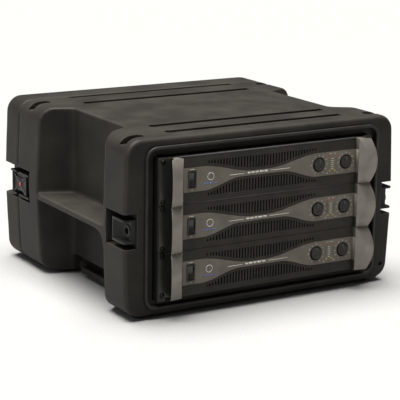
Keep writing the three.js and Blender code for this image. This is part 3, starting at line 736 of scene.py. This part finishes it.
def rearLever(name, side):
    looks = latchLooks
    low, high = boxOf("latch_lever_" + name)
    y0, z0, z1 = low[1], low[2], high[2]
    middleZ = (z0 + z1) / 2
    outer = looks["outer"]
    pivotY = lidY + looks["pinBehindLid"]
    # hourglass in side view: the lower edge from the pull to the pin, and the upper edge back
    edge = ((y0, 1), (y0 + 4, 0), (y0 + 22, 7), (pivotY - 14, 6), (pivotY + 3, 0))
    waist = [(y, z0 + rise) for y, rise in edge] + [(y, z1 - drop) for y, drop in reversed(edge)]
    near, far = looks["plate"]
    plate = prism(roundCorners(waist, 2.5, 3), "x", *span(side, outer - near, outer - far))
    ribs = []
    for bottom, topEdge in ((z0 + 2, z1 - 2), (z1 - 2, z0 + 2)):
        start, end = Vector((y0 + 5, bottom)), Vector((pivotY - 5, topEdge))
        across = Vector((-(end - start).y, (end - start).x)).normalized() * looks["rib"]
        corners = [tuple(v) for v in (start - across, end - across, end + across, start + across)]
        ribs.append(prism(corners, "x", *span(side, outer - 2.5, outer - 0.1)))
    pull = block(span(side, outer - 6, outer), (y0, y0 + 5), (z0 + 4, z1 - 4))
    knuckleRadius, boreRadius = looks["knuckle"]
    knuckle = cylinder(knuckleRadius, "z", z0, z1, (side * (outer - 3), pivotY), 24)
    nubs = [cylinder(2.6, "x", *span(side, outer - 3, outer + 0.3), (y0 + 3, z), 20) for z in (z0 + 4, z1 - 4)]
    lever = combine(plate, ribs + [pull, knuckle] + nubs, "UNION")
    bore = cylinder(boreRadius, "z", z0 - 2, z1 + 2, (side * (outer - 3), pivotY), 20)
    lever = combine(lever, [bore])
    softEdges(lever, 0.5)
    applyModifiers(lever)
    shade(lever)
    lever.name = "lever_" + name
    finishPiece(lever, "nylon", "latch_lever_" + name, ["latch_lever_" + name])
    dot = roundedRect(3.4, 7.5, 1.6, (seamY - 11, middleZ))
    release = prism(dot, "x", *span(side, outer - 2, outer + 0.6))
    release.name = "release_button_" + name
    finishPiece(release, "orange", "latch_lever_" + name)


for name, side in sides:
    frontKeeper(name, side)
    rearLever(name, side)
    for node in ("keeper_rear_" + name, "latch_base_" + name):
        wear(nodes[node], "nylon")
        softEdges(nodes[node], 0.7)
for node in nodes:
    if node.startswith("rack_rail"):
        wear(nodes[node], "powder")
print("latches made")


# the amplifiers
ampLooks = {"knobX": (111.5, 175.0), "knobRadius": 11.9, "knobProud": 2.5, "knobWell": 14.3, "flutes": 36,
            "rockerX": -174.2, "rockerWindow": (9, 16.5), "rockerSize": (6.2, 12.9), "rockerTilt": -9,
            "surround": (17.6, 32.4, 2), "waveHigh": 23.2, "waveLow": 4.6, "bandEnd": 198, "halfHeight": 44.05,
            "ledX": (134.5, 151.5), "tickRing": 18.5, "tickCount": 11, "screwX": 8.75, "screwZ": 38,
            "plate": (41.6, 1.7, 43)}


def waveTop(x):
    high, low = ampLooks["waveHigh"], ampLooks["waveLow"]
    return high - (high - low) * (ease(-152, -40, x) - ease(-5, 112, x))


def waveBottom(x):
    high, low = ampLooks["waveHigh"], ampLooks["waveLow"]
    return -high + (high - low) * (ease(-150, -66, x) - ease(28, 108, x))


def waveBand(amp, centreZ):
    end, count = ampLooks["bandEnd"], 90
    xs = [-end + 2 * end * i / count for i in range(count + 1)]
    outline = [(x, centreZ + waveBottom(x)) for x in xs] + [(x, centreZ + waveTop(x)) for x in reversed(xs)]
    band = prism(outline, "y", fasciaY - 0.5, fasciaY + 0.8)
    through = (fasciaY - 5, fasciaY + 5)
    holes = [cylinder(ampLooks["knobWell"], "y", *through, (x, centreZ), 40) for x in ampLooks["knobX"]]
    x, (halfWide, halfHigh) = ampLooks["rockerX"], ampLooks["rockerWindow"]
    holes.append(block((x - halfWide, x + halfWide), through, (centreZ - halfHigh, centreZ + halfHigh)))
    combine(band, holes)
    shade(band, False)
    band.name = amp + "_band"
    return finishPiece(band, "band", "case", [amp + "_wave_band"])


# (inboard of the panel's end, ahead of the ears): where the handle leaves the panel, its crease and its tip
handleLooks = {"base": (42.4, 16.6), "crease": (31.2, 34.4), "tip": (9.8, 35.0), "tipEnd": (16.5, 20.6),
               "thick": 3.2, "stations": 40,
               "gusset": ((41, 0.4), (41, 15), (20, 18.4), (26, 8), (29, 0.4)), "gussetThick": 3}


def handlePiece(amp, name, side, centreZ):
    # a folded sheet whose crease and tip bow out between its two ends
    half = ampLooks["halfHeight"]
    stations, thick = handleLooks["stations"], handleLooks["thick"]
    base, crease, tip, tipEnd = (handleLooks[k] for k in ("base", "crease", "tip", "tipEnd"))
    rings = []
    for i in range(stations + 1):
        along = -1 + 2 * i / stations
        arch = 1 - along * along
        fold = [b + (c - b) * arch for b, c in zip(base, crease)]
        edge = [b + (c - b) * arch for b, c in zip(tipEnd, tip)]
        bow = [(fold[0] + edge[0]) / 2 + 0.2, (fold[1] + edge[1]) / 2 + 0.5 * arch]
        section = [(base[0], 0.4), (base[0], base[1]), (base[0] - 0.02, base[1] + 0.02), tuple(fold),
                   (fold[0] - 0.9, fold[1] + 0.25 * arch), tuple(bow), (edge[0] + 0.5, edge[1] - 0.03),
                   (edge[0], edge[1] - 0.5), (edge[0] + 2.2, edge[1] - 2.9), (fold[0] - 2.4, fold[1] - thick),
                   (base[0] - thick, base[1] - thick), (base[0] - thick, 0.4)]
        rings.append([(side * (panelHalf - u), earY - f, centreZ + along * half) for u, f in section])
    body = loft(rings)
    gusset = [(side * (panelHalf - u), earY - f) for u, f in handleLooks["gusset"]]
    sheet = handleLooks["gussetThick"]
    ends = [prism(gusset, "z", centreZ + low, centreZ + low + sheet) for low in (-half, half - sheet)]
    handle = join(amp + "_grip_" + name, [body] + ends)
    shadeByAngle(handle, 28)
    return finishPiece(handle, "silver", "case", [f"{amp}_handle_{name}"])


def handleCheeks(amp, centreZ):
    # the moulding turns forward under each handle, and the band goes round with it
    inboard, ahead = handleLooks["base"]
    y = (earY - ahead + 0.2, fasciaY + 0.6)
    for key, half, proud in (("panel", 43.9, 0.6), ("band", ampLooks["waveHigh"], 0.9)):
        cheeks = [block(span(side, panelHalf - inboard - proud, panelHalf - inboard + 0.2), y,
                        (centreZ - half, centreZ + half)) for _, side in sides]
        finishPiece(join(f"{amp}_{key}_cheeks", cheeks), key, "case")


def knobPiece(amp, number, x, centreZ):
    looks = ampLooks
    r = looks["knobRadius"]
    front = looks["knobProud"]
    profile = [(r - 1, -7), (r, -6.5), (r, front - 1.2), (r - 0.5, front - 0.4), (r - 1.4, front),
               (r - 3.4, front), (r - 4.2, front - 0.7), (2, front - 0.9), (0.2, front - 0.9)]
    bandFront = fasciaY - 0.5
    body = turned(profile, (x, centreZ), bandFront, 144, flutes=looks["flutes"], fluteDepth=0.7,
                  fluteRows=(1, 2))
    pointer = block((x - 0.9, x + 0.9), (bandFront - front - 0.5, bandFront - front + 1.2),
                    (centreZ + 3, centreZ + r - 0.8))
    shaft = cylinder(3.2, "y", fasciaY + 4, earY + 12, (x, centreZ), 20)
    knob = join(f"{amp}_knob_{number}", [body, shaft])
    shadeByAngle(knob, 40)
    body = f"{amp}_gain_knob_{number}"
    finishPiece(knob, "knob", body, [body])
    pointer.name = f"{amp}_pointer_{number}"
    finishPiece(softEdges(pointer, 0.3), "pointerInk", body)


def rockerPiece(amp, centreZ):
    x, (halfWide, h) = ampLooks["rockerX"], ampLooks["rockerSize"]
    # (up, out) round the cap: two shallow slopes in front, a skirt behind
    outline = [(-h, 4.2), (-h * 0.5, 2.3), (0, 1.7), (h * 0.5, 2.3), (h, 4.2), (h - 0.6, 2.0),
               (h - 2.6, -5), (-h + 2.6, -5), (-h + 0.6, 2.0)]
    rings = []
    tilt = math.radians(ampLooks["rockerTilt"])
    for px in (-halfWide, halfWide):
        ring = []
        for up, out in outline:
            y = -out * math.cos(tilt) - up * math.sin(tilt)
            z = -out * math.sin(tilt) + up * math.cos(tilt)
            ring.append((x + px, fasciaY + 1.5 + y, centreZ + z))
        rings.append(ring)
    rocker = loft(rings, amp + "_switch_cap")
    softEdges(rocker, 0.6, 3, 25)
    applyModifiers(rocker)
    shade(rocker)
    finishPiece(rocker, "rocker", amp + "_power_rocker", [amp + "_power_rocker"])
    # a dark surround in the pale band
    surround = prism(roundedRect(*ampLooks["surround"], (x, centreZ)), "y", fasciaY - 2.1, fasciaY + 0.6)
    combine(surround, [block((x - 6.9, x + 6.9), (fasciaY - 5, fasciaY + 5), (centreZ - 14.4, centreZ + 14.4))])
    softEdges(surround, 0.5)
    surround.name = amp + "_switch_surround"
    return finishPiece(surround, "rocker", "case")


def panelMarks(amp, centreZ):
    # printed marks and indicator lenses, as thin raised pieces
    looks = ampLooks
    front = fasciaY - 0.5

    def mark(x, z, proud=0.25):
        return block((min(x), max(x)), (front - proud, front + 0.2), (centreZ + min(z), centreZ + max(z)))

    ink = []
    for x in looks["knobX"]:
        for i in range(looks["tickCount"]):
            a = math.radians(-60 + 300 * i / (looks["tickCount"] - 1))
            cx, cz = x + looks["tickRing"] * math.cos(a), looks["tickRing"] * math.sin(a)
            ink.append(mark((cx - 0.7, cx + 0.7), (cz - 0.7, cz + 0.7)))
    for row in range(6):
        ink.append(mark((140.2, 145.8), (8.5 - row * 4.0, 9.4 - row * 4.0)))
    for x in ((-53, -46), (-44.5, -37), (-35, -28), (-26, -17), (-15, -7)):
        ink.append(mark(x, (-0.8, 2.4)))
    for x, z in (((-179, -169.5), (19.0, 20.1)), ((-176, -172), (-19.8, -18.7)), ((-93, -60), (0.0, 1.1)),
                 ((-1, 44), (0.2, 1.2))):
        ink.append(mark(x, z))
    for x, z in ((138, 19.5), (148, 19.5), (131, -18.8), (155, -18.8)):
        ink.append(mark((x - 2.2, x + 2.2), (z - 0.4, z + 0.4)))
    printed = join(amp + "_printed_scale", ink)
    finishPiece(printed, "paleInk", "case")
    starts = [-148.5 + 6.2 * i for i in range(5)]
    blue = join(amp + "_printed_dashes", [mark((x, x + 4), (-11.2, -9.0)) for x in starts])
    finishPiece(blue, "blueInk", "case")
    # a plain pale ring where a badge would be
    centre = (-134, centreZ + 2.6)
    badge = cylinder(7.5, "y", front - 0.3, front + 0.2, centre, 40)
    combine(badge, [cylinder(6.2, "y", front - 2, front + 2, centre, 40)])
    badge.name = amp + "_printed_ring"
    finishPiece(badge, "paleInk", "case")
    dome = [(1.5, -0.2), (1.5, 0.5), (1.0, 1.0), (0.3, 1.2)]
    for key, rows in (("redLens", (15.5,)), ("greenLens", (8.5, 3.5, -1.5, -6.5)), ("amberLens", (-14.8,))):
        lenses = []
        for x in looks["ledX"]:
            for z in rows:
                inward = 2.5 if key == "amberLens" else 0
                cx = x + (inward if x < 143 else -inward)
                lenses.append(turned(dome, (cx, centreZ + z), front, 16))
        lens = join(f"{amp}_{key[:-4]}_indicators", lenses)
        shade(lens)
        finishPiece(lens, key, "case")


def rackScrews(amp, centreZ):
    screws = []
    dome = [(4.1, 0.0), (4.1, 1.2), (3.5, 2.2), (2.1, 2.7), (0.3, 2.8)]
    ring = [(5.6, 0.0), (5.6, 0.4), (5.2, 0.7), (4.0, 0.7)]
    for _, side in sides:
        for up in (-ampLooks["screwZ"], ampLooks["screwZ"]):
            x, z = side * (panelHalf - ampLooks["screwX"]), centreZ + up
            head = turned(dome, (x, z), earY - 0.9, 32)
            slots = [block((x - dx, x + dx), (earY - 6, earY - 2.2), (z - dz, z + dz))
                     for dx, dz in ((2, 0.45), (0.45, 2))]
            combine(head, slots)
            screws += [head, turned(ring, (x, z), earY - 0.4, 32)]
    piece = join(amp + "_rack_screws", screws)
    shadeByAngle(piece, 35)
    return finishPiece(piece, "oxide", "case")


def earPlates(amp, centreZ):
    # a darker painted plate over each ear, short of the panel's edge
    far, near, half = ampLooks["plate"]
    for name, side in sides:
        plate = block(span(side, panelHalf - far, panelHalf - near), (earY - 0.5, earY + 0.3),
                      (centreZ - half, centreZ + half), f"{amp}_ear_plate_{name}")
        softEdges(plate, 0.25)
        finishPiece(plate, "earPaint", "case")


def paintedShadeStrip(number, centreZ):
    # a black strip in the gap above an amplifier, where the next one sits on it: painted shade standing in for
    # the shadow in that gap
    end = ampLooks["bandEnd"]
    strip = block((-end, end), (fasciaY - 0.3, earY), (centreZ + 43.5, centreZ + 45.4), f"painted_shade_strip_{number}")
    finishPiece(strip, "rubber", "case")


def ventShadeSheet(amp, centreZ):
    # a black foam sheet behind the vents: painted shade for the dark inside the amplifier, seen through the
    # slots
    sheet = block((-150, 116), (earY + 3.4, earY + 6), (centreZ - 37, centreZ + 37), amp + "_vent_shade_sheet")
    softEdges(sheet, 0.8)
    return finishPiece(sheet, "foam", "case")


nodeFinishes = {"front_panel": "panel", "chassis_tray": "zinc", "top_cover": "zinc", "circuit_board": "board",
                "transformer": "copper", "heatsink": "extrusion", "fan_rotor": "knob"}
for number in (1, 2, 3):
    amp = f"amp{number}"
    low, high = boxOf(amp + "_front_panel")
    centreZ = (low[2] + high[2]) / 2
    waveBand(amp, centreZ)
    handleCheeks(amp, centreZ)
    # a black strip of painted shade in each gap between amplifiers
    if number < 3:
        paintedShadeStrip(number, centreZ)
    for name, side in sides:
        handlePiece(amp, name, side, centreZ)
    for index, x in enumerate(ampLooks["knobX"]):
        knobPiece(amp, index + 1, x, centreZ)
    rockerPiece(amp, centreZ)
    panelMarks(amp, centreZ)
    earPlates(amp, centreZ)
    rackScrews(amp, centreZ)
    ventShadeSheet(amp, centreZ)
    softEdges(nodes[amp + "_front_panel"], 0.9, 2)
    for part, key in nodeFinishes.items():
        wear(nodes[f"{amp}_{part}"], key)
    print(amp, "dressed")


# floor, light and camera
studio = {"floorReach": 20000, "floor": ("#929291", "#9a9a99"), "sky": 0.12, "sun": 10.2, "sunAngle": 50,
          "sunLean": (-5, 4), "boxPower": 9, "boxSize": 1.6, "cameraMm": (-1579.5, -2345.9, 854.2),
          "yaw": 31.308, "pitch": 13.789, "roll": -0.964, "focal": 1523.6}


def addLamp(name, kind, place, aim, colour, **settings):
    data = bpy.data.lights.new(name, kind)
    for key, value in settings.items():
        setattr(data, key, value)
    data.color = srgb(colour)[:3]
    lamp = bpy.data.objects.new(name, data)
    bpy.context.scene.collection.objects.link(lamp)
    lamp.location = place
    lamp.rotation_euler = (Vector(aim) - Vector(place)).to_track_quat("-Z", "Y").to_euler()


def buildStudio():
    far = studio["floorReach"]
    floor = newObject("floor", [(-far, -far, 0), (far, -far, 0), (far, far, 0), (-far, far, 0)],
                      [(0, 1, 2, 3)], False)
    paper, tree, shader, place = newMaterial("pale seamless paper", roughness=0.9, specular=0.1)
    fibre = addNode(tree, "ShaderNodeTexNoise", {"Scale": perMetre(4), "Detail": 3.0}, {"Vector": place})
    dark, pale = studio["floor"]
    base = addNode(tree, "ShaderNodeValToRGB", {"stops": [(0.3, dark), (0.7, pale)]},
                   {"Fac": fibre.outputs["Fac"]}).outputs["Color"]
    tree.links.new(base, shader.inputs["Base Color"])
    floor.data.materials.append(paper)
    world = bpy.data.worlds.new("studio")
    bpy.context.scene.world = world
    world.use_nodes = True
    world.node_tree.nodes["Background"].inputs["Color"].default_value = (1, 1, 1, 1)
    world.node_tree.nodes["Background"].inputs["Strength"].default_value = studio["sky"]
    leanX, leanY = (math.tan(math.radians(v)) for v in studio["sunLean"])
    addLamp("ceiling bank", "SUN", (leanX, leanY, 1), (0, 0, 0), "#fffdfa", energy=studio["sun"],
            angle=math.radians(studio["sunAngle"]))
    addLamp("side softbox", "AREA", (-2.6, -0.7, 1.5), (0, 0, 0.15), "#f2f6ff", energy=studio["boxPower"],
            size=studio["boxSize"])


def buildCamera():
    yaw, pitch, roll = (math.radians(studio[k]) for k in ("yaw", "pitch", "roll"))
    forward = Vector((math.sin(yaw) * math.cos(pitch), math.cos(yaw) * math.cos(pitch), -math.sin(pitch)))
    right = Vector((math.cos(yaw), -math.sin(yaw), 0))
    down = forward.cross(right)
    c, s = math.cos(roll), math.sin(roll)
    right, down = c * right + s * down, c * down - s * right
    data = bpy.data.cameras.new("camera")
    data.sensor_width = 36
    data.lens = studio["focal"] * 36 / 400
    data.clip_end = 100
    camera = bpy.data.objects.new("camera", data)
    bpy.context.scene.collection.objects.link(camera)
    x, y, z = studio["cameraMm"]
    axes = Matrix((right, -down, -forward)).transposed().to_4x4()
    camera.matrix_world = Matrix.Translation(Vector((x, y + earY, z + bayZ)) * mm) @ axes
    bpy.context.scene.camera = camera


buildStudio()
buildCamera()
bpy.context.scene.view_settings.view_transform = "Standard"
print("scene ready")
